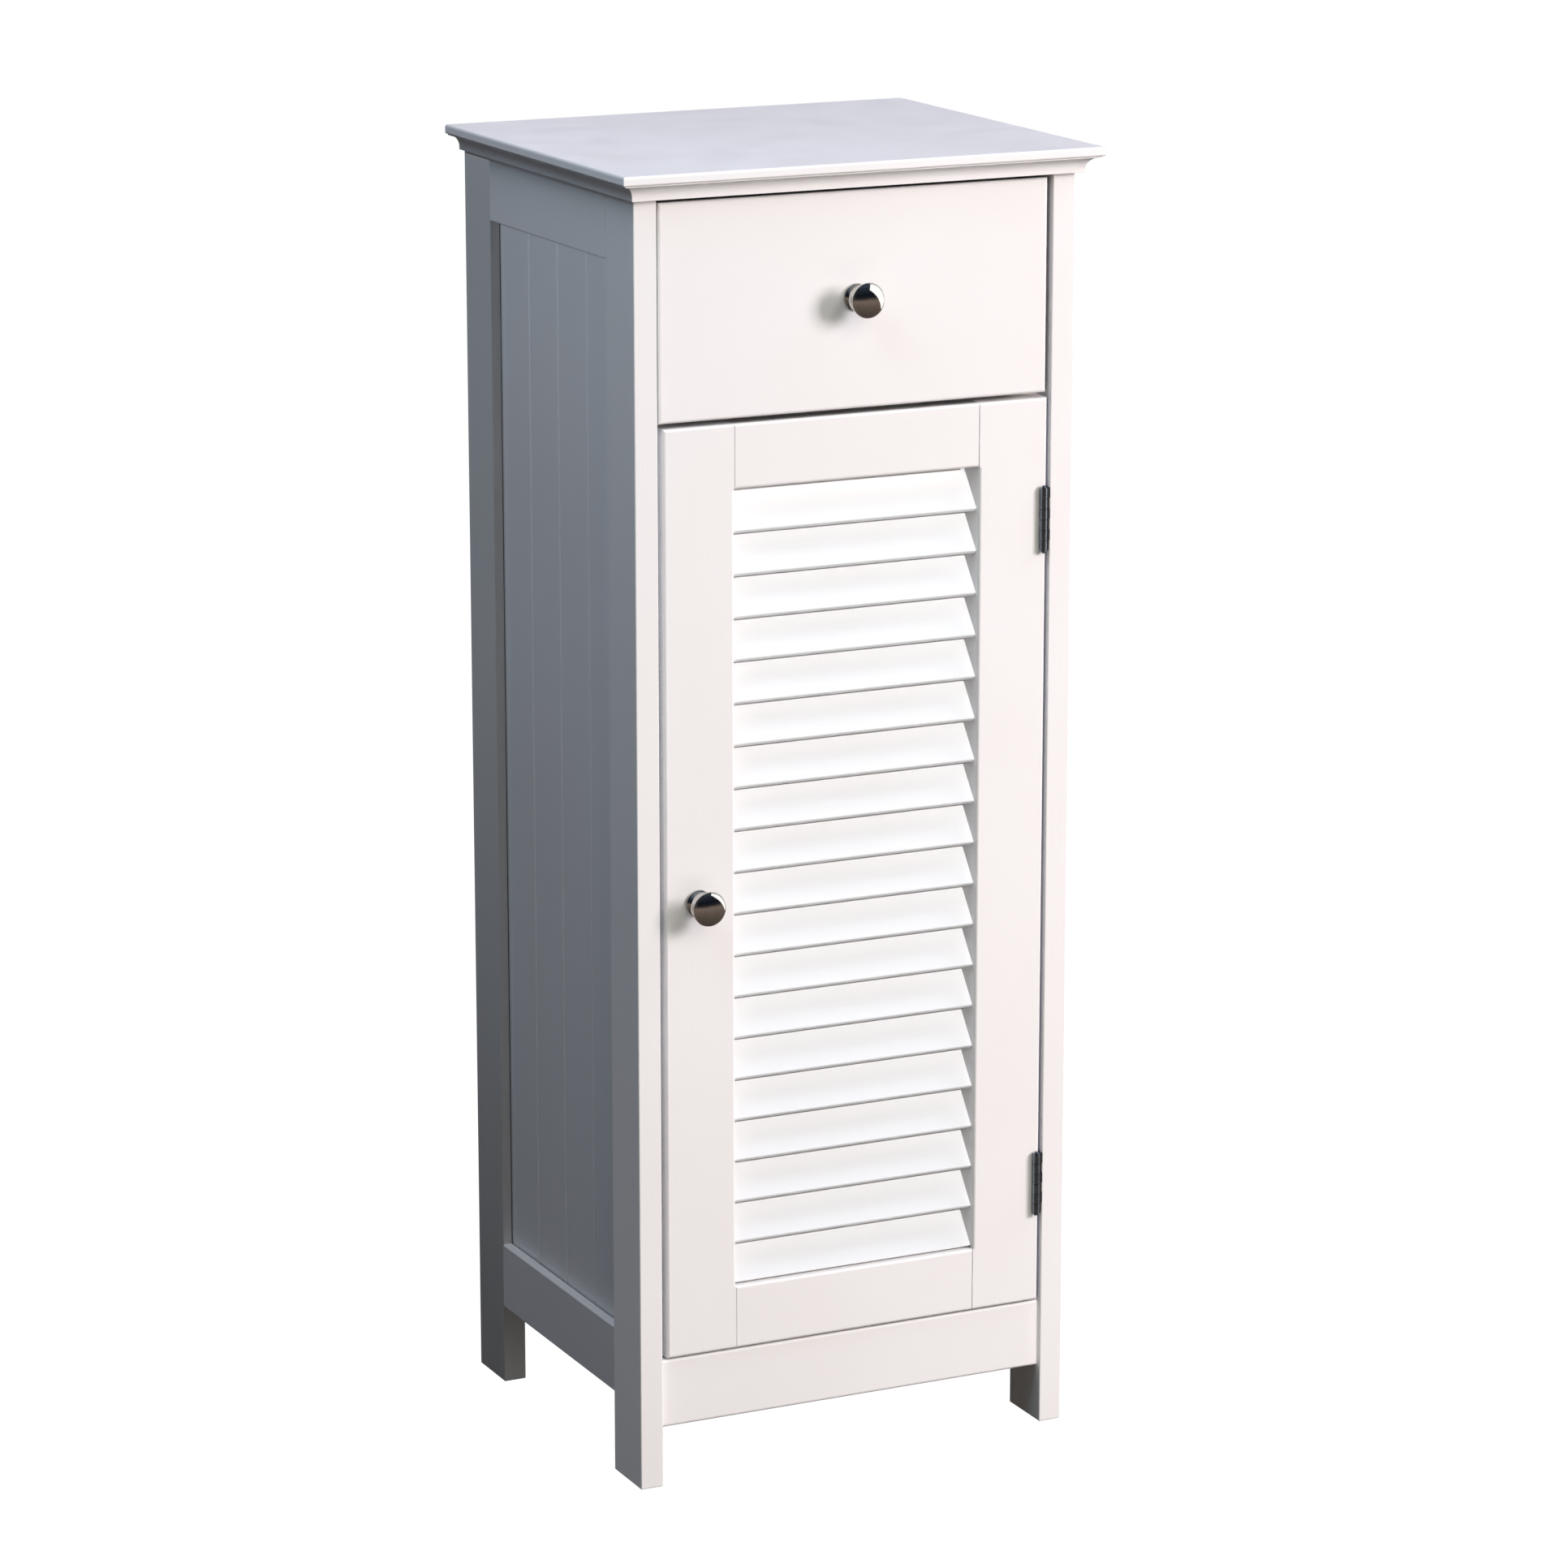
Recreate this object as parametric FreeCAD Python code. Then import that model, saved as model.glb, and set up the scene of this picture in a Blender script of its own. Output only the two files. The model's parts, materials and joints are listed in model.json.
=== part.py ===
import FreeCAD, Part
import math
import os

# Louvred door cabinet with one drawer. Millimetres; X to the right, Y to the back, Z up.
# The origin is on the floor, under the middle of the top board.

# ---- overall size and top board -------------------------------------------------------------
HEIGHT = 870.0
TOP_WIDTH = 340.0
TOP_DEPTH = 290.0
TOP_THICKNESS = 17.0
SIDE_OVERHANG = 13.5
FRONT_OVERHANG = 16.5
NOSING_HEIGHT = 6.0         # blunt edge at the top of the moulding
NOSING_ROUND_TOP = 1.6
NOSING_ROUND_LOW = 1.2
STEP_DEPTH = 2.0            # set-in and drop between the blunt edge and the cove
STEP_HEIGHT = 1.0
COVE_RADIUS = 8.0

# ---- side frames ----------------------------------------------------------------------------
LEG_THICKNESS = 16.0        # along X
LEG_WIDTH = 43.0            # along Y
FRAME_EASE = 0.8            # broken edges of legs and side rails
HOLE_LINE_INSET = 9.0       # from the inner edge of a leg to its holes for pins and dowels
SIDE_TOP_RAIL_HEIGHT = 42.5
SIDE_BOTTOM_RAIL_HEIGHT = 45.0
SIDE_BOTTOM_RAIL_RISE = 55.0
PANEL_THICKNESS = 5.0
PANEL_GROOVE_WIDTH = 6.0
PANEL_GROOVE_DEPTH = 6.0
PANEL_GROOVE_SETBACK = 6.5  # from the outside of the frame to the groove
PANEL_EDGE_CLEARANCE = 0.4
SLIDE_IN_CLEARANCE = 0.1    # wooden pieces housed in grooves, slots and mortises
BEAD_COUNT = 3
BEAD_WIDTH = 2.2
BEAD_DEPTH = 1.2

# ---- boards between the side frames ---------------------------------------------------------
BOARD_THICKNESS = 12.0
BACK_THICKNESS = 4.0
BACK_SETBACK = 8.0
BACK_GROOVE_DEPTH = 6.0
STRETCHER_WIDTH = 50.0
APRON_RISE = 39.0
APRON_HEIGHT = 46.7
APRON_THICKNESS = 16.0
APRON_SETBACK = 5.0         # behind the legs
STOP_CLEARANCE = 1.0        # front edges of boards stay this far behind door and drawer front
SHELF_PIN_HEIGHT = 360.0    # floor to the middle of the shelf pins
SHELF_SIDE_CLEARANCE = 1.5
SHELF_SEAT_CLEARANCE = 0.1
SHELF_PIN_DIAMETER = 5.0
SHELF_PIN_REACH = 9.0
SHELF_PIN_SEAT = 8.5
SHELF_PIN_COLLAR_DIAMETER = 7.2
SHELF_PIN_COLLAR_LENGTH = 1.2
SHELF_HOLE_PITCH = 48.0
SHELF_HOLE_ROWS = (-1, 0, 1)

# ---- fronts ---------------------------------------------------------------------------------
FRONT_SETBACK = 2.0         # door and drawer front lie this far behind the legs
FRONT_ROUND = 2.0           # rounded front edges
LATCH_GAP = 4.6
HINGE_GAP = 1.3
DRAWER_LEFT_GAP = 1.7
DRAWER_RIGHT_GAP = 2.7
DOOR_BOTTOM_GAP = 1.5
DRAWER_DOOR_GAP = 3.4
DRAWER_TOP_GAP = 2.7
DRAWER_FRONT_HEIGHT = 140.7
DRAWER_FRONT_THICKNESS = 16.0

# ---- louvred door ---------------------------------------------------------------------------
DOOR_THICKNESS = 26.0
STILE_WIDTH = 49.6
DOOR_TOP_RAIL_HEIGHT = 42.2
DOOR_BOTTOM_RAIL_HEIGHT = 43.1
JOINT_BEVEL = 0.7           # fine V line where a door rail meets a stile
TENON_THICKNESS = 7.0
TENON_LENGTH = 20.0
TENON_SHOULDER = 7.0
SLAT_COUNT = 19
SLAT_THICKNESS = 4.5
SLAT_TILT = 37.0            # degrees from upright, lower edge forward
SLAT_FRONT_SETBACK = 4.4
SLAT_BACK_SETBACK = 0.3
SLAT_EDGE_RADIUS = 1.0
SLAT_HOUSING_DEPTH = 5.0
SLAT_SINK = 0.7             # lowest slat let into the bottom rail
SLAT_TOP_GAP = 3.7          # highest slat under the top rail

# ---- drawer box -----------------------------------------------------------------------------
DRAWER_SIDE_CLEARANCE = 6.0
DRAWER_SIDE_THICKNESS = 12.0
DRAWER_SIDE_HEIGHT = 96.0
DRAWER_BOX_LIFT = 1.3       # above the dividing board
DRAWER_REAR_CLEARANCE = 8.5  # in front of the back panel
DRAWER_HOUSING_DEPTH = 4.0
DRAWER_BACK_INSET = 6.0
DRAWER_BOTTOM_THICKNESS = 3.0
DRAWER_BOTTOM_LIFT = 8.0
DRAWER_BOTTOM_GROOVE = 5.0
RUNNER_HEIGHT = 12.0
RUNNER_CLEARANCE = 0.3      # above and below the runner in its groove
RUNNER_GROOVE_DEPTH = 6.0
RUNNER_SIDE_CLEARANCE = 0.5

# ---- hinges ---------------------------------------------------------------------------------
HINGE_LENGTH = 42.0
HINGE_INSET_TOP = 80.2      # door end to hinge middle
HINGE_INSET_BOTTOM = 83.6
BARREL_DIAMETER = 4.6
BARREL_FROM_LEG = 4.8       # barrel axis to the inner face of the leg
BARREL_FROM_FACE = 2.65     # barrel axis to the face of the door
KNUCKLE_COUNT = 6
KNUCKLE_CLEARANCE = 0.3
KNUCKLE_WEB_ANGLE = 30.0    # degrees from straight back to where a web leaves the barrel
LEAF_THICKNESS = 1.0
LEAF_REACH = 18.0           # behind the face of the door
LEAF_CORNER_RADIUS = 2.0
FRAME_LEAF_SETBACK = 0.9    # behind the front of the leg
HINGE_PIN_DIAMETER = 2.2
HINGE_PIN_HEAD_DIAMETER = 3.2
HINGE_PIN_HEAD_LENGTH = 1.7
PIN_CLEARANCE = 0.05        # radial, all pins, dowels and screws in their holes
LEAF_SCREW_SPACING = 14.0
LEAF_SCREW_OUTER = 8.0      # screw rows behind the face of the door
LEAF_SCREW_INNER = 12.0

# ---- knobs ----------------------------------------------------------------------------------
KNOB_PROJECTION = 21.2
KNOB_DISC_DIAMETER = 23.0
KNOB_DISC_EDGE = 2.0        # thickness of the rim
KNOB_DOME_HEIGHT = 2.4
KNOB_BASE_DIAMETER = 17.4
KNOB_BASE_HEIGHT = 1.6
KNOB_NECK_DIAMETER = 10.4
KNOB_NECK_HEIGHT = 8.6      # door face to the waist
KNOB_NECK_HOLLOW = 0.28     # share of the flare that is left halfway to the waist
KNOB_CENTRE_FLAT = 0.8       # width of the flat at the crown of the dome
DOOR_KNOB_RISE = 395.0
DOOR_KNOB_INSET = 23.1       # from the latch edge of the door
DRAWER_KNOB_LIFT = 1.8       # above the middle of the drawer front
KNOB_SCREW_DIAMETER = 4.0
KNOB_SCREW_REACH = 9.0      # into the knob
KNOB_SCREW_HEAD_DIAMETER = 8.0
KNOB_SCREW_HEAD_HEIGHT = 2.4
KNOB_SCREW_HEAD_ROUND = 1.4
KNOB_SCREW_HOLE_CLEARANCE = 0.2

# ---- magnetic catch -------------------------------------------------------------------------
CATCH_LENGTH = 32.0
CATCH_DEPTH = 15.0
CATCH_HEIGHT = 13.0
CATCH_EAR_LENGTH = 8.0
CATCH_EAR_THICKNESS = 3.0
CATCH_SCREW_INSET = 4.0     # from the rear of the ears
CATCH_SLOT_WIDTH = 1.6
CATCH_SLOT_DEPTH = 1.0
CATCH_GAP = 0.3
STRIKE_LENGTH = 36.0
STRIKE_HEIGHT = 12.0
STRIKE_THICKNESS = 1.2

# ---- dowels and wood screws -----------------------------------------------------------------
DOWEL_DIAMETER = 6.0
DOWEL_LENGTH = 30.0
DOWEL_CHAMFER = 0.7
DOWEL_SEAT_SHALLOW = 10.0   # in a leg's inner face or the top board
DOWEL_END_CLEARANCE = 0.5
TOP_RAIL_DOWEL_SPREAD = 7.5
BOTTOM_RAIL_DOWEL_SPREAD = 10.0
APRON_DOWEL_SPREAD = 10.0
SCREW_DIAMETER = 3.0
SCREW_LENGTH = 12.0
SCREW_HEAD_DIAMETER = 5.5
SCREW_HEAD_HEIGHT = 1.25
SCREW_TIP_LENGTH = 2.0
SCREW_RECESS_WIDTH = 0.6
SCREW_RECESS_LENGTH = 2.8
SCREW_RECESS_DEPTH = 0.7
COUNTERBORE_DIAMETER = 7.0
RUNNER_WOOD_UNDER_SCREW = 4.0

PICK_TOLERANCE = 0.001      # for picking the edges that lie in a plane

# ---- planes and places worked out from the sizes ---------------------------------------------
V = FreeCAD.Vector
X, Y, Z = V(1, 0, 0), V(0, 1, 0), V(0, 0, 1)

front = -TOP_DEPTH / 2 + FRONT_OVERHANG          # front of the legs
back = TOP_DEPTH / 2                             # back of the legs
side = TOP_WIDTH / 2 - SIDE_OVERHANG             # outside of the legs
inner = side - LEG_THICKNESS                     # inside of the legs
leg_top = HEIGHT - TOP_THICKNESS
front_leg_edge = front + LEG_WIDTH
back_leg_edge = back - LEG_WIDTH
top_rail_bottom = leg_top - SIDE_TOP_RAIL_HEIGHT
bottom_rail_top = SIDE_BOTTOM_RAIL_RISE + SIDE_BOTTOM_RAIL_HEIGHT
back_face = back - BACK_SETBACK - BACK_THICKNESS  # front of the back panel

face = front + FRONT_SETBACK                     # front of door and drawer
apron_front = front + APRON_SETBACK
apron_top = APRON_RISE + APRON_HEIGHT
apron_back = apron_front + APRON_THICKNESS
drawer_top = leg_top - DRAWER_TOP_GAP
drawer_bottom = drawer_top - DRAWER_FRONT_HEIGHT
drawer_front_back = face + DRAWER_FRONT_THICKNESS
door_top = drawer_bottom - DRAWER_DOOR_GAP
door_bottom = apron_top + DOOR_BOTTOM_GAP
door_back = face + DOOR_THICKNESS
door_left = -inner + LATCH_GAP
door_right = inner - HINGE_GAP
drawer_left = -inner + DRAWER_LEFT_GAP
drawer_right = inner - DRAWER_RIGHT_GAP

divider_middle = (door_top + drawer_bottom) / 2
divider_bottom = divider_middle - BOARD_THICKNESS / 2
divider_top = divider_middle + BOARD_THICKNESS / 2
board_front = door_back + STOP_CLEARANCE
shelf_front = door_back + KNOB_SCREW_HEAD_HEIGHT + STOP_CLEARANCE
leg_middle_x = side - LEG_THICKNESS / 2
hole_line_front = front_leg_edge - HOLE_LINE_INSET
hole_line_back = back_leg_edge + HOLE_LINE_INSET

louvre_left = door_left + STILE_WIDTH
louvre_right = door_right - STILE_WIDTH
louvre_bottom = door_bottom + DOOR_BOTTOM_RAIL_HEIGHT
louvre_top = door_top - DOOR_TOP_RAIL_HEIGHT

axis_x = inner - BARREL_FROM_LEG
axis_y = face - BARREL_FROM_FACE
hinge_middles = {"lower": door_bottom + HINGE_INSET_BOTTOM, "upper": door_top - HINGE_INSET_TOP}

catch_x = door_left + STILE_WIDTH / 2
door_knob_x = door_left + DOOR_KNOB_INSET
drawer_knob_x = (drawer_left + drawer_right) / 2
drawer_knob_z = (drawer_top + drawer_bottom) / 2 + DRAWER_KNOB_LIFT

box_outer = inner - DRAWER_SIDE_CLEARANCE
box_inner = box_outer - DRAWER_SIDE_THICKNESS
box_bottom = divider_top + DRAWER_BOX_LIFT
box_top = box_bottom + DRAWER_SIDE_HEIGHT
box_back = back_face - DRAWER_REAR_CLEARANCE
box_floor = box_bottom + DRAWER_BOTTOM_LIFT
box_floor_top = box_floor + DRAWER_BOTTOM_THICKNESS
runner_middle = (box_bottom + box_top) / 2
runner_face = box_outer - RUNNER_GROOVE_DEPTH + RUNNER_SIDE_CLEARANCE
runner_front = drawer_front_back + STOP_CLEARANCE

nodes = {}


# ---- helpers --------------------------------------------------------------------------------
def board(x0, x1, y0, y1, z0, z1):
    return Part.makeBox(x1 - x0, y1 - y0, z1 - z0, V(x0, y0, z0))


def mirrored(shape):
    return shape.mirror(V(0, 0, 0), X)


def edges_along(shape, direction, keep=lambda middle: True):
    found = []
    for edge in shape.Edges:
        run = edge.lastVertex().Point - edge.firstVertex().Point
        middle = (edge.lastVertex().Point + edge.firstVertex().Point) * 0.5
        if run.cross(direction).Length < PICK_TOLERANCE and keep(middle):
            found.append(edge)
    return found


def lies_at(value, plane):
    return abs(value - plane) < PICK_TOLERANCE


def prism(points, direction):
    """Solid between a closed outline and the same outline moved by direction."""
    wire = Part.makePolygon(points + points[:1])
    return Part.Face(wire).extrude(direction)


def turned(outline, place, direction):
    """Solid of revolution: outline holds (radius, height) points or 3-point arcs, axis first to last."""
    edges = []
    for item in outline:
        points = [V(radius, 0, height) for radius, height in item]
        if len(points) == 2:
            edges.append(Part.LineSegment(*points).toShape())
        else:
            edges.append(Part.Arc(*points).toShape())
    solid = Part.Face(Part.Wire(edges)).revolve(V(0, 0, 0), Z, 360)
    solid.Placement = FreeCAD.Placement(place, FreeCAD.Rotation(Z, direction))
    return solid


def cap(radius, low, high, flat=0.0):
    """Half a spherical cap: from its rim, at radius and low, to its crown, flat across, at high."""
    rise = high - low
    span = radius - flat / 2
    ball = (span ** 2 + rise ** 2) / (2 * rise)
    half_angle = math.asin(span / abs(ball)) / 2
    middle = (flat / 2 + abs(ball) * math.sin(half_angle), high - ball * (1 - math.cos(half_angle)))
    return ((radius, low), middle, (flat / 2, high))


def cut_all(shape, cutters):
    """Cuts only with the cutters that reach the shape."""
    near = [c for c in cutters if c.BoundBox.intersect(shape.BoundBox)]
    return shape.cut(near) if near else shape


def grouped(solids):
    return Part.makeCompound(solids)


# ---- dowels ---------------------------------------------------------------------------------
def dowel(place, direction):
    """A dowel that starts at place and runs along direction."""
    peg = Part.makeCylinder(DOWEL_DIAMETER / 2, DOWEL_LENGTH, place, direction)
    rims = [edge for edge in peg.Edges if edge.Closed]
    return peg.makeChamfer(DOWEL_CHAMFER, rims)


def dowel_hole(place, direction):
    start = place - direction * DOWEL_END_CLEARANCE
    length = DOWEL_LENGTH + 2 * DOWEL_END_CLEARANCE
    return Part.makeCylinder(DOWEL_DIAMETER / 2 + PIN_CLEARANCE, length, start, direction)


def frame_dowel_places():
    places = []
    half = DOWEL_LENGTH / 2
    rails = (
        ((top_rail_bottom + leg_top) / 2, TOP_RAIL_DOWEL_SPREAD),
        ((SIDE_BOTTOM_RAIL_RISE + bottom_rail_top) / 2, BOTTOM_RAIL_DOWEL_SPREAD),
    )
    boards = (
        (apron_top - BOARD_THICKNESS / 2, hole_line_front),
        (apron_top - BOARD_THICKNESS / 2, hole_line_back),
        (divider_middle, hole_line_front),
        (divider_middle, hole_line_back),
        (leg_top - BOARD_THICKNESS / 2, hole_line_front),
        (leg_top - BOARD_THICKNESS / 2, hole_line_back),
        ((APRON_RISE + apron_top) / 2 - APRON_DOWEL_SPREAD, (apron_front + apron_back) / 2),
        ((APRON_RISE + apron_top) / 2 + APRON_DOWEL_SPREAD, (apron_front + apron_back) / 2),
    )
    for sign in (-1, 1):
        for middle, spread in rails:
            for z in (middle - spread, middle + spread):
                places.append((V(sign * leg_middle_x, front_leg_edge - half, z), Y))
                places.append((V(sign * leg_middle_x, back_leg_edge - half, z), Y))
        for z, y in boards:
            places.append((V(sign * (inner + DOWEL_SEAT_SHALLOW), y, z), X * -sign))
        for y in (front + LEG_WIDTH / 2, back - LEG_WIDTH / 2):
            places.append((V(sign * leg_middle_x, y, leg_top + DOWEL_SEAT_SHALLOW), Z * -1))
    return places


# ---- wood screws ----------------------------------------------------------------------------
def screw_outline(clearance):
    head = SCREW_HEAD_DIAMETER / 2 + clearance
    shank = SCREW_DIAMETER / 2 + clearance
    tip = SCREW_LENGTH + clearance
    corners = [
        (0, 0),
        (head, 0),
        (shank, SCREW_HEAD_HEIGHT),
        (shank, SCREW_LENGTH - SCREW_TIP_LENGTH),
        (0, tip),
        (0, 0),
    ]
    return list(zip(corners, corners[1:]))


def wood_screw(place, direction):
    """Countersunk screw with a cross recess; place is the middle of its head."""
    screw = turned(screw_outline(0), V(0, 0, 0), Z)
    half = SCREW_RECESS_LENGTH / 2
    wide = SCREW_RECESS_WIDTH / 2
    screw = screw.cut(board(-half, half, -wide, wide, 0, SCREW_RECESS_DEPTH))
    screw = screw.cut(board(-wide, wide, -half, half, 0, SCREW_RECESS_DEPTH))
    screw.Placement = FreeCAD.Placement(place, FreeCAD.Rotation(Z, direction))
    return screw


def screw_hole(place, direction):
    """Pilot hole and countersink, open above the head."""
    hole = turned(screw_outline(PIN_CLEARANCE), place, direction)
    mouth_radius = SCREW_HEAD_DIAMETER / 2 + PIN_CLEARANCE
    mouth = Part.makeCylinder(mouth_radius, SCREW_HEAD_HEIGHT, place, direction * -1)
    return hole.fuse(mouth)


def leaf_screw_places(x, direction):
    places = []
    for middle in hinge_middles.values():
        for step in (-1, 0, 1):
            y = face + (LEAF_SCREW_OUTER if step else LEAF_SCREW_INNER)
            places.append((V(x, y, middle + step * LEAF_SCREW_SPACING), direction))
    return places


def runner_screw_places():
    depth = inner - RUNNER_WOOD_UNDER_SCREW
    return [
        (V(sign * depth, y, runner_middle), X * sign)
        for sign in (-1, 1)
        for y in (hole_line_front, hole_line_back)
    ]


def catch_screw_places():
    reach = CATCH_LENGTH / 2 + CATCH_EAR_LENGTH / 2
    y = catch_front + CATCH_DEPTH - CATCH_SCREW_INSET
    z = divider_bottom - CATCH_EAR_THICKNESS
    return [(V(catch_x + sign * reach, y, z), Z) for sign in (-1, 1)]


catch_front = door_back + STRIKE_THICKNESS + CATCH_GAP
strike_middle = divider_bottom - CATCH_HEIGHT / 2
frame_screw_places = (
    leaf_screw_places(inner - LEAF_THICKNESS, X) + runner_screw_places() + catch_screw_places()
)
door_screw_places = leaf_screw_places(door_right, X * -1) + [
    (V(catch_x, door_back + STRIKE_THICKNESS, strike_middle), Y * -1)
]
frame_dowels = frame_dowel_places()
frame_holes = [dowel_hole(*place) for place in frame_dowels]
frame_holes += [screw_hole(*place) for place in frame_screw_places]
door_holes = [screw_hole(*place) for place in door_screw_places]


# ---- top board ------------------------------------------------------------------------------
def top_edge(reach):
    """Half outline of the moulded edge, from the top face down, as (distance out, height)."""
    step = reach - STEP_DEPTH
    cove = step - COVE_RADIUS
    shoulder = HEIGHT - NOSING_HEIGHT
    cove_top = shoulder - STEP_HEIGHT
    high, low = NOSING_ROUND_TOP, NOSING_ROUND_LOW
    short = 1 - math.sqrt(0.5)
    lean = COVE_RADIUS * short
    return [
        ((0, HEIGHT), (reach - high, HEIGHT)),
        ((reach - high, HEIGHT), (reach - high * short, HEIGHT - high * short), (reach, HEIGHT - high)),
        ((reach, HEIGHT - high), (reach, shoulder + low)),
        ((reach, shoulder + low), (reach - low * short, shoulder + low * short), (reach - low, shoulder)),
        ((reach - low, shoulder), (step, shoulder)),
        ((step, shoulder), (step, cove_top)),
        ((step, cove_top), (cove + lean, cove_top - lean), (cove, cove_top - COVE_RADIUS)),
        ((cove, cove_top - COVE_RADIUS), (cove, leg_top)),
        ((cove, leg_top), (0, leg_top)),
        ((0, leg_top), (0, HEIGHT)),
    ]


def moulded_slab(reach, outward, run):
    """Slab whose edge, reach away from the origin along outward, is moulded."""
    edges = []
    for item in top_edge(reach):
        points = [outward * out + Z * height for out, height in item]
        if len(points) == 2:
            edges.append(Part.LineSegment(*points).toShape())
        else:
            edges.append(Part.Arc(*points).toShape())
    face_shape = Part.Face(Part.Wire(edges))
    face_shape.translate(run * -0.5)
    return face_shape.extrude(run)


def top_board():
    half = moulded_slab(TOP_WIDTH / 2, X, Y * TOP_DEPTH)
    across = half.fuse(mirrored(half)).removeSplitter()
    front_half = moulded_slab(TOP_DEPTH / 2, Y * -1, X * TOP_WIDTH)
    back_half = board(-TOP_WIDTH / 2, TOP_WIDTH / 2, 0, back, leg_top, HEIGHT)
    along = front_half.fuse(back_half).removeSplitter()
    return cut_all(across.common(along).removeSplitter(), frame_holes)


# ---- side frames ----------------------------------------------------------------------------
panel_groove_outer = side - PANEL_GROOVE_SETBACK
panel_groove_inner = panel_groove_outer - PANEL_GROOVE_WIDTH
panel_inner = panel_groove_inner + SLIDE_IN_CLEARANCE
panel_outer = panel_inner + PANEL_THICKNESS


def panel_grooves():
    """The room that the panel's edges take in legs and rails."""
    return board(
        panel_groove_inner,
        panel_groove_outer,
        front_leg_edge - PANEL_GROOVE_DEPTH,
        back_leg_edge + PANEL_GROOVE_DEPTH,
        bottom_rail_top - PANEL_GROOVE_DEPTH,
        top_rail_bottom + PANEL_GROOVE_DEPTH,
    )


def back_groove():
    reach = inner + BACK_GROOVE_DEPTH
    low = back_face - SLIDE_IN_CLEARANCE
    high = back_face + BACK_THICKNESS + SLIDE_IN_CLEARANCE
    floor = apron_top - BOARD_THICKNESS - SLIDE_IN_CLEARANCE
    return board(-reach, reach, low, high, floor, leg_top)


def shelf_holes():
    holes = []
    for y in (hole_line_front, hole_line_back):
        for row in SHELF_HOLE_ROWS:
            z = SHELF_PIN_HEIGHT + row * SHELF_HOLE_PITCH
            radius = SHELF_PIN_DIAMETER / 2 + PIN_CLEARANCE
            depth = SHELF_PIN_SEAT + DOWEL_END_CLEARANCE
            holes.append(Part.makeCylinder(radius, depth, V(inner, y, z), X))
    return holes


def right_leg(y0, y1):
    leg = board(inner, side, y0, y1, 0, leg_top)
    upright = edges_along(leg, Z)
    foot = edges_along(leg, X, lambda m: lies_at(m.z, 0))
    foot += edges_along(leg, Y, lambda m: lies_at(m.z, 0))
    leg = leg.makeFillet(FRAME_EASE, upright + foot)
    return leg.cut([panel_grooves(), back_groove()] + shelf_holes())


def right_rail(z0, z1):
    rail = board(inner, side, front_leg_edge, back_leg_edge, z0, z1)
    rail = rail.makeFillet(FRAME_EASE, edges_along(rail, Y))
    return rail.cut(panel_grooves())


def right_panel():
    tongue = PANEL_GROOVE_DEPTH - PANEL_EDGE_CLEARANCE
    low, high = front_leg_edge, back_leg_edge
    z0, z1 = bottom_rail_top - tongue, top_rail_bottom + tongue
    panel = board(panel_inner, panel_outer, low - tongue, high + tongue, z0, z1)
    strip = (high - low) / (BEAD_COUNT + 1)
    beads = []
    for index in range(BEAD_COUNT):
        middle = low + strip * (index + 1)
        corners = [
            V(panel_outer, middle - BEAD_WIDTH / 2, z0),
            V(panel_outer, middle + BEAD_WIDTH / 2, z0),
            V(panel_outer - BEAD_DEPTH, middle, z0),
        ]
        beads.append(prism(corners, Z * (z1 - z0)))
    return panel.cut(beads)


def side_frames():
    pieces = {
        "leg_front": right_leg(front, front_leg_edge),
        "leg_back": right_leg(back_leg_edge, back),
        "side_top_rail": right_rail(top_rail_bottom, leg_top),
        "side_bottom_rail": right_rail(SIDE_BOTTOM_RAIL_RISE, bottom_rail_top),
        "side_panel": right_panel(),
    }
    for name, piece in pieces.items():
        nodes[name + "_right"] = cut_all(piece, frame_holes)
        nodes[name + "_left"] = cut_all(mirrored(piece), frame_holes)


# ---- boards between the side frames ---------------------------------------------------------
def carcass_boards():
    nodes["bottom_panel"] = board(
        -inner, inner, apron_back, back_face, apron_top - BOARD_THICKNESS, apron_top
    )
    nodes["divider_panel"] = board(
        -inner, inner, board_front, back_face, divider_bottom, divider_top
    )
    for name in ("bottom_panel", "divider_panel"):
        nodes[name] = cut_all(nodes[name], frame_holes)
    low = leg_top - BOARD_THICKNESS
    stretchers = []
    for start in (drawer_front_back + STOP_CLEARANCE, back_face - STRETCHER_WIDTH):
        stretcher = board(-inner, inner, start, start + STRETCHER_WIDTH, low, leg_top)
        stretchers.append(cut_all(stretcher, frame_holes))
    nodes["top_stretchers"] = grouped(stretchers)
    reach = inner + BACK_GROOVE_DEPTH - PANEL_EDGE_CLEARANCE
    nodes["back_panel"] = board(
        -reach, reach, back_face, back_face + BACK_THICKNESS, apron_top - BOARD_THICKNESS, leg_top
    )


def front_apron():
    apron = board(-inner, inner, apron_front, apron_back, APRON_RISE, apron_top)
    apron = apron.makeFillet(FRONT_ROUND, edges_along(apron, X, lambda m: lies_at(m.y, apron_front)))
    return cut_all(apron, frame_holes)


def adjustable_shelf():
    reach = inner - SHELF_SIDE_CLEARANCE
    seat = SHELF_PIN_HEIGHT + SHELF_PIN_DIAMETER / 2 + SHELF_SEAT_CLEARANCE
    shelf = board(-reach, reach, shelf_front, back_face - STOP_CLEARANCE, seat, seat + BOARD_THICKNESS)
    return shelf.makeFillet(FRAME_EASE, edges_along(shelf, X, lambda m: lies_at(m.y, shelf_front)))


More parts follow.
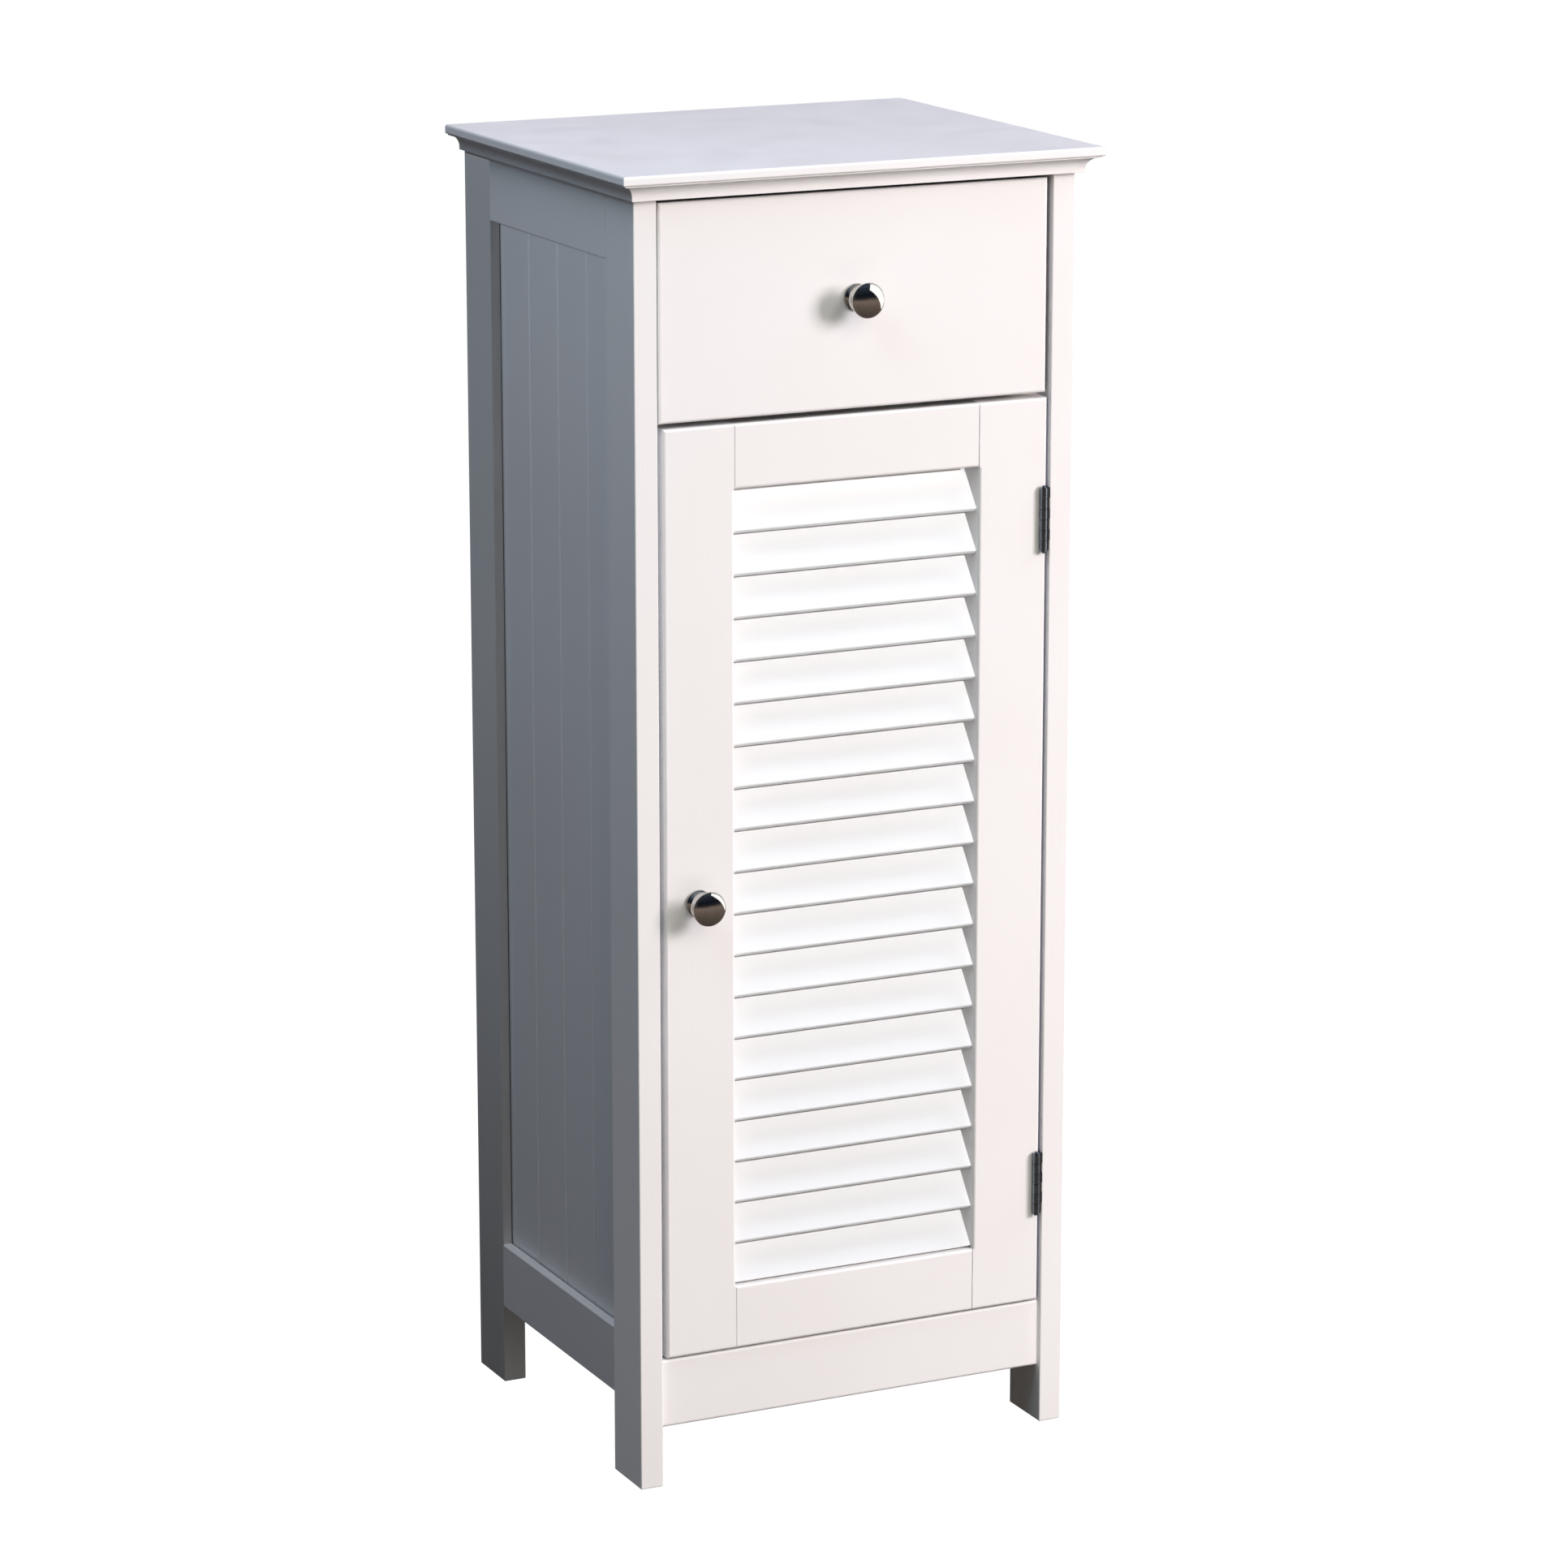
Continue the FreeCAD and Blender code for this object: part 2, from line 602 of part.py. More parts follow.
def shelf_pins():
    pins = []
    for sign in (-1, 1):
        for y in (hole_line_front, hole_line_back):
            inward = X * -sign
            start = V(sign * (inner + SHELF_PIN_SEAT), y, SHELF_PIN_HEIGHT)
            length = SHELF_PIN_SEAT + SHELF_PIN_REACH
            peg = Part.makeCylinder(SHELF_PIN_DIAMETER / 2, length, start, inward)
            collar = Part.makeCylinder(
                SHELF_PIN_COLLAR_DIAMETER / 2,
                SHELF_PIN_COLLAR_LENGTH,
                V(sign * inner, y, SHELF_PIN_HEIGHT),
                inward,
            )
            pins.append(peg.fuse(collar).removeSplitter())
    return grouped(pins)


# ---- drawer ---------------------------------------------------------------------------------
def drawer_runner_right():
    runner = board(
        runner_face,
        inner,
        runner_front,
        back_face,
        runner_middle - RUNNER_HEIGHT / 2,
        runner_middle + RUNNER_HEIGHT / 2,
    )
    depth = inner - RUNNER_WOOD_UNDER_SCREW - runner_face
    bores = [
        Part.makeCylinder(COUNTERBORE_DIAMETER / 2, depth, V(runner_face, y, runner_middle), X)
        for y in (hole_line_front, hole_line_back)
    ]
    return runner.cut(bores)


def drawer_floor_room():
    """The drawer bottom with its clearance in the grooves."""
    gap = SLIDE_IN_CLEARANCE / 2
    reach = box_inner + DRAWER_BOTTOM_GROOVE
    start = drawer_front_back - DRAWER_BOTTOM_GROOVE
    return board(-reach, reach, start, box_back, box_floor - gap, box_floor_top + gap)


def drawer_back_room(clearance):
    reach = box_inner + DRAWER_HOUSING_DEPTH + clearance / 2
    rear = box_back - DRAWER_BACK_INSET
    start = rear - DRAWER_SIDE_THICKNESS
    low = box_floor_top + SLIDE_IN_CLEARANCE
    return board(-reach, reach, start - clearance, rear + clearance, low - clearance, box_top)


def drawer_side_right():
    wall = board(
        box_inner,
        box_outer,
        drawer_front_back - DRAWER_HOUSING_DEPTH,
        box_back,
        box_bottom,
        box_top,
    )
    wall = wall.makeFillet(FRAME_EASE, edges_along(wall, Y, lambda m: lies_at(m.z, box_top)))
    half = RUNNER_HEIGHT / 2 + RUNNER_CLEARANCE
    track = board(
        box_outer - RUNNER_GROOVE_DEPTH,
        box_outer,
        drawer_front_back,
        box_back,
        runner_middle - half,
        runner_middle + half,
    )
    return wall.cut([track, drawer_floor_room(), drawer_back_room(SLIDE_IN_CLEARANCE)])


def drawer_front():
    front_board = board(
        drawer_left, drawer_right, face, drawer_front_back, drawer_bottom, drawer_top
    )
    rim = edges_along(front_board, X, lambda m: lies_at(m.y, face))
    rim += edges_along(front_board, Z, lambda m: lies_at(m.y, face))
    front_board = front_board.makeFillet(FRONT_ROUND, rim)
    gap = SLIDE_IN_CLEARANCE
    housing = board(
        box_inner - gap,
        box_outer + gap,
        drawer_front_back - DRAWER_HOUSING_DEPTH - gap,
        drawer_front_back,
        box_bottom - gap,
        box_top + gap,
    )
    hole = knob_screw_hole(V(drawer_knob_x, face, drawer_knob_z), DRAWER_FRONT_THICKNESS)
    return front_board.cut([housing, mirrored(housing), drawer_floor_room(), hole])


def drawer():
    nodes["drawer_runner_right"] = cut_all(drawer_runner_right(), frame_holes)
    nodes["drawer_runner_left"] = cut_all(mirrored(drawer_runner_right()), frame_holes)
    nodes["drawer_front"] = drawer_front()
    nodes["drawer_side_right"] = drawer_side_right()
    nodes["drawer_side_left"] = mirrored(nodes["drawer_side_right"])
    nodes["drawer_back"] = drawer_back_room(0)
    reach = box_inner + DRAWER_BOTTOM_GROOVE - PANEL_EDGE_CLEARANCE
    nodes["drawer_bottom"] = board(
        -reach,
        reach,
        drawer_front_back - DRAWER_BOTTOM_GROOVE + PANEL_EDGE_CLEARANCE,
        box_back - DRAWER_BACK_INSET,
        box_floor,
        box_floor_top,
    )


# ---- louvred door ---------------------------------------------------------------------------
slat_tilt = math.radians(SLAT_TILT)
slat_depth = DOOR_THICKNESS - SLAT_FRONT_SETBACK - SLAT_BACK_SETBACK
slat_flat_edge = SLAT_THICKNESS - 2 * SLAT_EDGE_RADIUS
slat_flat_face = (
    slat_depth - 2 * SLAT_EDGE_RADIUS - slat_flat_edge * math.cos(slat_tilt)
) / math.sin(slat_tilt)
slat_width = slat_flat_face + 2 * SLAT_EDGE_RADIUS
slat_height = (
    slat_flat_face * math.cos(slat_tilt)
    + slat_flat_edge * math.sin(slat_tilt)
    + 2 * SLAT_EDGE_RADIUS
)


def slat_bar(x0, x1, clearance):
    """A slat lying between x0 and x1, lowest point at height 0, tilted with its top to the back."""
    half_width = slat_width / 2 + clearance
    half_thick = SLAT_THICKNESS / 2 + clearance
    bar = board(x0, x1, -half_thick, half_thick, -half_width, half_width)
    bar = bar.makeFillet(SLAT_EDGE_RADIUS + clearance, edges_along(bar, X))
    bar.rotate(V(0, 0, 0), X, -SLAT_TILT)
    bar.translate(V(0, face + SLAT_FRONT_SETBACK + slat_depth / 2, slat_height / 2))
    return bar


def slat_heights():
    lowest = louvre_bottom - SLAT_SINK
    highest = louvre_top - SLAT_TOP_GAP - slat_height
    pitch = (highest - lowest) / (SLAT_COUNT - 1)
    return [lowest + pitch * index for index in range(SLAT_COUNT)]


def slat_housings():
    gap = SLIDE_IN_CLEARANCE
    reach = SLAT_HOUSING_DEPTH + gap
    housings = []
    for z in slat_heights():
        bar = slat_bar(louvre_left - reach, louvre_right + reach, gap)
        bar.translate(Z * z)
        housings.append(bar)
    return housings


def tenon_room(z0, z1, clearance):
    middle = (face + door_back) / 2
    half = TENON_THICKNESS / 2 + clearance
    reach = TENON_LENGTH + clearance
    low = z0 + TENON_SHOULDER - clearance
    high = z1 - TENON_SHOULDER + clearance
    return board(
        louvre_left - reach, louvre_right + reach, middle - half, middle + half, low, high
    )


def rounded_corner(point, inward, deeper, run):
    """Waste that leaves a rounded edge: the edge starts at point and follows run."""
    across = inward * FRONT_ROUND
    down = deeper * FRONT_ROUND
    bend = point + across + down - (inward + deeper) * (FRONT_ROUND * math.sqrt(0.5))
    arc = Part.Arc(point + down, bend, point + across).toShape()
    sides = [
        Part.LineSegment(point + across, point).toShape(),
        Part.LineSegment(point, point + down).toShape(),
    ]
    return Part.Face(Part.Wire([arc] + sides)).extrude(run)


def door_stile(x0, x1, louvre_side):
    """A stile; louvre_side is +1 where the louvres lie on its right and -1 on its left."""
    stile = board(x0, x1, face, door_back, door_bottom, door_top)
    outer_x, inner_x = (x0, x1) if louvre_side > 0 else (x1, x0)
    opening = Z * (louvre_top - louvre_bottom)
    waste = [
        rounded_corner(
            V(outer_x, face, door_bottom), X * louvre_side, Y, Z * (door_top - door_bottom)
        ),
        rounded_corner(V(inner_x, face, louvre_bottom), X * -louvre_side, Y, opening),
        rounded_corner(V(x0, face, door_bottom), Z, Y, X * (x1 - x0)),
        rounded_corner(V(x0, face, door_top), Z * -1, Y, X * (x1 - x0)),
    ]
    waste += slat_housings()
    waste.append(tenon_room(door_bottom, louvre_bottom, SLIDE_IN_CLEARANCE))
    waste.append(tenon_room(louvre_top, door_top, SLIDE_IN_CLEARANCE))
    return cut_all(stile, waste + door_holes)


def door_rail(z0, z1):
    rail = board(louvre_left, louvre_right, face, door_back, z0, z1)
    run = X * (louvre_right - louvre_left)
    waste = [
        rounded_corner(V(louvre_left, face, z0), Z, Y, run),
        rounded_corner(V(louvre_left, face, z1), Z * -1, Y, run),
    ]
    for x, sign in ((louvre_left, 1), (louvre_right, -1)):
        corners = [V(x, face, z0), V(x + sign * JOINT_BEVEL, face, z0), V(x, face + JOINT_BEVEL, z0)]
        waste.append(prism(corners, Z * (z1 - z0)))
    rail = rail.cut(waste).fuse(tenon_room(z0, z1, 0)).removeSplitter()
    return cut_all(rail, slat_housings())


def leaf_mortises():
    mortises = []
    for middle in hinge_middles.values():
        half = HINGE_LENGTH / 2 + SLIDE_IN_CLEARANCE
        mortises.append(
            board(
                door_right - LEAF_THICKNESS - SLIDE_IN_CLEARANCE,
                door_right,
                face,
                face + LEAF_REACH + SLIDE_IN_CLEARANCE,
                middle - half,
                middle + half,
            )
        )
    return mortises


def door():
    knob_hole = knob_screw_hole(V(door_knob_x, face, DOOR_KNOB_RISE), DOOR_THICKNESS)
    knob_stile = door_stile(door_left, louvre_left, 1)
    nodes["door_stile_knob_side"] = knob_stile.cut(knob_hole)
    hinge_stile = door_stile(louvre_right, door_right, -1)
    nodes["door_stile_hinge_side"] = hinge_stile.cut(leaf_mortises())
    nodes["door_rail_top"] = door_rail(louvre_top, door_top)
    nodes["door_rail_bottom"] = door_rail(door_bottom, louvre_bottom)
    for index, z in enumerate(slat_heights()):
        slat = slat_bar(louvre_left - SLAT_HOUSING_DEPTH, louvre_right + SLAT_HOUSING_DEPTH, 0)
        slat.translate(Z * z)
        nodes["louvre_slat_%02d" % (index + 1)] = slat


# ---- hinges ---------------------------------------------------------------------------------
def knuckle_spans(middle, parity):
    length = HINGE_LENGTH / KNUCKLE_COUNT
    bottom = middle - HINGE_LENGTH / 2
    spans = []
    for index in range(parity, KNUCKLE_COUNT, 2):
        low = bottom + index * length + (KNUCKLE_CLEARANCE / 2 if index else 0)
        last = index == KNUCKLE_COUNT - 1
        high = bottom + (index + 1) * length - (0 if last else KNUCKLE_CLEARANCE / 2)
        spans.append((low, high))
    return spans


def hinge_leaf(middle, x0, x1, plate_front, parity):
    """A leaf plate with its knuckles and the webs that join them."""
    half = HINGE_LENGTH / 2
    radius = BARREL_DIAMETER / 2
    angle = math.radians(KNUCKLE_WEB_ANGLE)
    web_left = min(x0, axis_x + radius * math.sin(angle))
    web_back = max(plate_front, axis_y + radius * math.cos(angle))
    plate = board(x0, x1, plate_front, face + LEAF_REACH, middle - half, middle + half)
    rear = edges_along(plate, X, lambda m: m.y > face)
    plate = plate.makeFillet(LEAF_CORNER_RADIUS, rear)
    webs = []
    for low, high in knuckle_spans(middle, parity):
        webs.append(Part.makeCylinder(radius, high - low, V(axis_x, axis_y, low), Z))
        webs.append(board(web_left, x1, axis_y, web_back, low, high))
    leaf = plate.fuse(webs).removeSplitter()
    bore = HINGE_PIN_DIAMETER / 2 + PIN_CLEARANCE
    return leaf.cut(Part.makeCylinder(bore, HINGE_LENGTH, V(axis_x, axis_y, middle - half), Z))


def hinge_pin(middle):
    half = HINGE_LENGTH / 2
    radius = HINGE_PIN_DIAMETER / 2
    head = HINGE_PIN_HEAD_DIAMETER / 2
    rise = HINGE_PIN_HEAD_LENGTH
    outline = [
        cap(head, -half, -half - rise)[::-1],
        ((head, -half), (radius, -half)),
        ((radius, -half), (radius, half)),
        ((radius, half), (head, half)),
        cap(head, half, half + rise),
        ((0, half + rise), (0, -half - rise)),
    ]
    return turned(outline, V(axis_x, axis_y, middle), Z)


def hinges():
    frame_leaves, door_leaves, pins = [], [], []
    for middle in hinge_middles.values():
        frame_leaves.append(
            hinge_leaf(middle, inner - LEAF_THICKNESS, inner, front + FRAME_LEAF_SETBACK, 1)
        )
        door_leaves.append(
            hinge_leaf(middle, door_right - LEAF_THICKNESS, door_right, face, 0)
        )
        pins.append(hinge_pin(middle))
    nodes["hinge_frame_leaves"] = grouped([cut_all(leaf, frame_holes) for leaf in frame_leaves])
    nodes["hinge_door_leaves"] = grouped([cut_all(leaf, door_holes) for leaf in door_leaves])
    nodes["hinge_pins"] = grouped(pins)


# ---- knobs ----------------------------------------------------------------------------------
def knob_screw_hole(place, thickness):
    radius = KNOB_SCREW_DIAMETER / 2 + KNOB_SCREW_HOLE_CLEARANCE
    return Part.makeCylinder(radius, thickness, place, Y)


def knob(place):
    """Round knob on a board face at place, pointing forward."""
    base = KNOB_BASE_DIAMETER / 2
    neck = KNOB_NECK_DIAMETER / 2
    disc = KNOB_DISC_DIAMETER / 2
    rim_top = KNOB_PROJECTION - KNOB_DOME_HEIGHT
    rim_bottom = rim_top - KNOB_DISC_EDGE
    rim_bulge = KNOB_DISC_EDGE / 2
    edge = disc - rim_bulge
    lower = (neck + (base - neck) * KNOB_NECK_HOLLOW, (KNOB_BASE_HEIGHT + KNOB_NECK_HEIGHT) / 2)
    upper = (neck + (edge - neck) * KNOB_NECK_HOLLOW, (KNOB_NECK_HEIGHT + rim_bottom) / 2)
    bore = KNOB_SCREW_DIAMETER / 2 + PIN_CLEARANCE
    depth = KNOB_SCREW_REACH + DOWEL_END_CLEARANCE
    outline = [
        ((bore, 0), (base, 0)),
        ((base, 0), (base, KNOB_BASE_HEIGHT)),
        ((base, KNOB_BASE_HEIGHT), lower, (neck, KNOB_NECK_HEIGHT)),
        ((neck, KNOB_NECK_HEIGHT), upper, (edge, rim_bottom)),
        ((edge, rim_bottom), (disc, rim_bottom + rim_bulge), (edge, rim_top)),
        cap(edge, rim_top, KNOB_PROJECTION, KNOB_CENTRE_FLAT),
        ((KNOB_CENTRE_FLAT / 2, KNOB_PROJECTION), (0, KNOB_PROJECTION)),
        ((0, KNOB_PROJECTION), (0, depth)),
        ((0, depth), (bore, depth)),
        ((bore, depth), (bore, 0)),
    ]
    return turned(outline, place, Y * -1)


def knob_screw(place, thickness):
    """Machine screw from behind the board into the knob."""
    rear = place + Y * thickness
    shank = Part.makeCylinder(
        KNOB_SCREW_DIAMETER / 2, thickness + KNOB_SCREW_REACH, rear, Y * -1
    )
    head = Part.makeCylinder(KNOB_SCREW_HEAD_DIAMETER / 2, KNOB_SCREW_HEAD_HEIGHT, rear, Y)
    end = rear.y + KNOB_SCREW_HEAD_HEIGHT
    rim = [edge for edge in head.Edges if edge.Closed and lies_at(edge.CenterOfMass.y, end)]
    head = head.makeFillet(KNOB_SCREW_HEAD_ROUND, rim)
    half = SCREW_RECESS_LENGTH / 2
    wide = SCREW_RECESS_WIDTH / 2
    start = end - SCREW_RECESS_DEPTH
    cross = [
        board(rear.x - half, rear.x + half, start, end, rear.z - wide, rear.z + wide),
        board(rear.x - wide, rear.x + wide, start, end, rear.z - half, rear.z + half),
    ]
    return shank.fuse(head).removeSplitter().cut(cross)


def knobs():
    drawer_place = V(drawer_knob_x, face, drawer_knob_z)
    door_place = V(door_knob_x, face, DOOR_KNOB_RISE)
    nodes["drawer_knob"] = knob(drawer_place)
    nodes["drawer_knob_screw"] = knob_screw(drawer_place, DRAWER_FRONT_THICKNESS)
    nodes["door_knob"] = knob(door_place)
    nodes["door_knob_screw"] = knob_screw(door_place, DOOR_THICKNESS)


# ---- magnetic catch -------------------------------------------------------------------------
def magnetic_catch():
    half = CATCH_LENGTH / 2
    rear = catch_front + CATCH_DEPTH
    low = divider_bottom - CATCH_HEIGHT
    case = board(catch_x - half, catch_x + half, catch_front, rear, low, divider_bottom)
    case = case.makeFillet(FRAME_EASE, edges_along(case, Y, lambda m: lies_at(m.z, low)))
    reach = half + CATCH_EAR_LENGTH
    ears = board(
        catch_x - reach,
        catch_x + reach,
        catch_front,
        rear,
        divider_bottom - CATCH_EAR_THICKNESS,
        divider_bottom,
    )
    slots = []
    for sign in (-1, 1):
        z = strike_middle + sign * CATCH_HEIGHT / 4
        slots.append(
            board(
                catch_x - half / 2,
                catch_x + half / 2,
                catch_front,
                catch_front + CATCH_SLOT_DEPTH,
                z - CATCH_SLOT_WIDTH / 2,
                z + CATCH_SLOT_WIDTH / 2,
            )
        )
    return cut_all(case.fuse(ears).removeSplitter().cut(slots), frame_holes)


def strike_plate():
    plate = board(
        catch_x - STRIKE_LENGTH / 2,
        catch_x + STRIKE_LENGTH / 2,
        door_back,
        door_back + STRIKE_THICKNESS,
        strike_middle - STRIKE_HEIGHT / 2,
        strike_middle + STRIKE_HEIGHT / 2,
    )
    plate = plate.makeFillet(LEAF_CORNER_RADIUS, edges_along(plate, Y))
    return cut_all(plate, door_holes)


# ---- the whole cabinet ----------------------------------------------------------------------
nodes["top_board"] = top_board()
side_frames()
carcass_boards()
nodes["front_apron"] = front_apron()
nodes["adjustable_shelf"] = adjustable_shelf()
nodes["shelf_pins"] = shelf_pins()
drawer()
door()
hinges()
knobs()
nodes["magnetic_catch"] = magnetic_catch()
nodes["strike_plate"] = strike_plate()
nodes["frame_dowels"] = grouped([dowel(*place) for place in frame_dowels])
nodes["frame_wood_screws"] = grouped([wood_screw(*place) for place in frame_screw_places])
nodes["door_wood_screws"] = grouped([wood_screw(*place) for place in door_screw_places])

os.makedirs("parts", exist_ok=True)
for name, shape in nodes.items():
    shape.exportStep("parts/%s.step" % name)
    print(name, len(shape.Solids), round(shape.Volume))
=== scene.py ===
import json
import math
from collections import namedtuple

import bpy
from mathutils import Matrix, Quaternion, Vector


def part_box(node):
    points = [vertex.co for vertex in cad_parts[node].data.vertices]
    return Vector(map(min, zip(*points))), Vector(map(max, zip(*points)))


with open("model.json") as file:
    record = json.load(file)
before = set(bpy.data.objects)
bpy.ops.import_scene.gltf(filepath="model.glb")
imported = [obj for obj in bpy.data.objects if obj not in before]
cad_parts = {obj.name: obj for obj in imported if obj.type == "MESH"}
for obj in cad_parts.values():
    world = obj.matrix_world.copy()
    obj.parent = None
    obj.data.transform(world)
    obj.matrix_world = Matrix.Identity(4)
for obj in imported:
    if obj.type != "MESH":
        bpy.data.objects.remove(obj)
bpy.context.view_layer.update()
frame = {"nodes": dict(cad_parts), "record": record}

nodes = frame["nodes"]
slots = {part["node"]: part["material_slot"] for part in frame["record"]["subparts"]}
scene = bpy.context.scene
scene.view_settings.view_transform = "Standard"

# ---- camera ----------------------------------------------------------------------------------
CAMERA_AZIMUTH = -25.709  # 0 looks along +Y, negative stands to the left
CAMERA_ELEVATION = 13.9125
CAMERA_DISTANCE = 3.75721
CAMERA_TARGET = Vector((0.009642, 0.0, 0.432621))
CAMERA_REACH = (0.05, 200.0)  # the nearest and the farthest place that it sees
FOCAL_PIXELS = 6882.16
IMAGE_PIXELS = 1932
SENSOR_WIDTH = 36.0  # millimetres, as Blender counts it


def direction(azimuth, elevation):
    """Unit vector from the object towards a place at that azimuth and elevation."""
    a, e = math.radians(azimuth), math.radians(elevation)
    return Vector((math.sin(a) * math.cos(e), -math.cos(a) * math.cos(e), math.sin(e)))


def aimed(name, data, place, target):
    """A new camera or lamp that stands at place and looks at target."""
    made = bpy.data.objects.new(name, data)
    made.location = place
    made.rotation_mode = "QUATERNION"
    made.rotation_quaternion = (Vector(target) - Vector(place)).to_track_quat("-Z", "Y")
    scene.collection.objects.link(made)
    return made


camera_data = bpy.data.cameras.new("camera")
camera_data.sensor_width = SENSOR_WIDTH
camera_data.lens = FOCAL_PIXELS / IMAGE_PIXELS * SENSOR_WIDTH
camera_data.clip_start, camera_data.clip_end = CAMERA_REACH
camera_place = CAMERA_TARGET + direction(CAMERA_AZIMUTH, CAMERA_ELEVATION) * CAMERA_DISTANCE
scene.camera = aimed("camera", camera_data, camera_place, CAMERA_TARGET)

# ---- node helpers ----------------------------------------------------------------------------
MIX_FIRST, MIX_SECOND, MIX_COLOUR = 6, 7, 2  # sockets of a Mix node that mixes colours
NOISE_MIDDLE = (0.3, 0.7)  # nearly all values of a noise texture lie between these
EVEN = (1.0, 1.0, 1.0)
STRETCH = 0.06  # how much slower a wood texture changes along the grain than across it
ALONG = {"x": (STRETCH, 1.0, 1.0), "y": (1.0, STRETCH, 1.0), "z": (1.0, 1.0, STRETCH)}
WHITE = (1.0, 1.0, 1.0, 1.0)
HALF_TURNED = 0.5  # share from which a face counts as looking along an axis


def connect(tree, value, socket):
    """Feeds a socket from another socket, or sets its value."""
    if isinstance(value, bpy.types.NodeSocket):
        tree.links.new(value, socket)
    else:
        socket.default_value = value


def node(tree, kind, inputs=None, **settings):
    """Adds a node; inputs maps its sockets to values or to the sockets that feed them."""
    made = tree.nodes.new(kind)
    for key, value in settings.items():
        setattr(made, key, value)
    for key, value in (inputs or {}).items():
        connect(tree, value, made.inputs[key])
    return made


def linear(red, green, blue):
    """The shader's colour for the 0-255 values that an sRGB picture shows."""
    def channel(value):
        v = value / 255
        return v / 12.92 if v <= 0.04045 else ((v + 0.055) / 1.055) ** 2.4
    return (channel(red), channel(green), channel(blue), 1.0)


def ramp(tree, factor, stops):
    """A colour ramp; stops are pairs of a position from 0 to 1 and a picture colour."""
    made = node(tree, "ShaderNodeValToRGB", {"Fac": factor})
    elements = made.color_ramp.elements
    while len(elements) < len(stops):
        elements.new(0.5)
    for element, (position, colour) in zip(elements, stops):
        element.position = position
        element.color = linear(*colour)
    return made.outputs["Color"]


def mottled(tree, factor, low, high):
    """Picture colours that wander from low to high with a noise texture."""
    return ramp(tree, factor, list(zip(NOISE_MIDDLE, (low, high))))


def mixed(tree, factor, first, second):
    inputs = {"Factor": factor, MIX_FIRST: first, MIX_SECOND: second}
    return node(tree, "ShaderNodeMix", inputs, data_type="RGBA").outputs[MIX_COLOUR]


def noise(tree, place, scale, stretch=EVEN, detail=2.0, roughness=0.5):
    """A noise texture with about scale features per metre."""
    mapping = node(tree, "ShaderNodeMapping", {"Vector": place, "Scale": stretch})
    inputs = {
        "Vector": mapping.outputs["Vector"],
        "Scale": scale,
        "Detail": detail,
        "Roughness": roughness,
    }
    return node(tree, "ShaderNodeTexNoise", inputs).outputs["Fac"]


def ranged(tree, value, low, high, source=NOISE_MIDDLE):
    """Maps the source range of a value onto low to high."""
    inputs = {
        "Value": value,
        "From Min": source[0],
        "From Max": source[1],
        "To Min": low,
        "To Max": high,
    }
    return node(tree, "ShaderNodeMapRange", inputs).outputs["Result"]


def maths(tree, operation, *values):
    return node(tree, "ShaderNodeMath", dict(enumerate(values)), operation=operation).outputs[0]


def facing(tree, axis):
    """How much a face of the piece looks along +axis (1) or against it (-1)."""
    normal = node(tree, "ShaderNodeTexCoord").outputs["Normal"]
    return node(tree, "ShaderNodeSeparateXYZ", {"Vector": normal}).outputs[axis]


def bump(tree, height, distance, under=None):
    inputs = {"Height": height, "Distance": distance, "Strength": 1.0}
    if under is not None:
        inputs["Normal"] = under
    return node(tree, "ShaderNodeBump", inputs).outputs["Normal"]


def material(name):
    """A new material with its node tree, its shader and the place on the piece."""
    made = bpy.data.materials.new(name)
    made.use_nodes = True
    tree = made.node_tree
    place = node(tree, "ShaderNodeTexCoord").outputs["Object"]
    return made, tree, tree.nodes["Principled BSDF"], place


def feed(tree, shader, **values):
    for key, value in values.items():
        connect(tree, value, shader.inputs[key.replace("_", " ")])


# ---- white paint -----------------------------------------------------------------------------
PAINT_LIGHT, PAINT_DARK = (240, 238, 236), (237, 234, 231)
PAINT_ROUGHNESS = (0.36, 0.46)
PAINT_PATCHES, PAINT_SHEEN, PAINT_GRAIN, PAINT_FILM = 6.0, 40.0, 420.0, 900.0  # noise scales
GRAIN_HEIGHT, FILM_HEIGHT = 0.00004, 0.000025
GAP_SAMPLES = 8
SIDE_FACES = (0.3, 0.9)  # from faces that look forward to faces that look left or right

# Painted shade in a gap: the colour painted deep inside, how far away a surface still counts as
# near, the share of open space up to which the paint is painted dark and the share from which it is
# plain paint, and whether only faces that look left or right get the painted shade.
GapShade = namedtuple("GapShade", "deep reach dark_share paint_share sideways", defaults=(False,))
# Painted shade for the gaps of most pieces, near black, and a lighter grey one for gaps low on the
# front.
DEEP_GAP_SHADE = GapShade((16, 17, 21), 0.01, 0.1, 0.28)
LOW_GAP_SHADE = GapShade((118, 118, 120), 0.01, 0.0, 0.12)

# Painted shade in gaps that the room's light reaches is lighter than the deep one over the door.
LIGHTER_GAP_SHADES = {
    "door_stile_knob_side": ("latch_stile", GapShade((80, 96, 114), 0.01, 0.03, 0.2)),
    "door_stile_hinge_side": ("hinge_stile", GapShade((132, 136, 144), 0.03, 0.1, 0.7, sideways=True)),
    "leg_front_left": ("left_leg", GapShade((90, 92, 96), 0.01, 0.0, 0.12)),
    "leg_front_right": ("right_leg", GapShade((150, 158, 178), 0.01, 0.05, 0.2)),
    "front_apron": ("apron", LOW_GAP_SHADE),
    "door_rail_bottom": ("low_rail", LOW_GAP_SHADE),
}


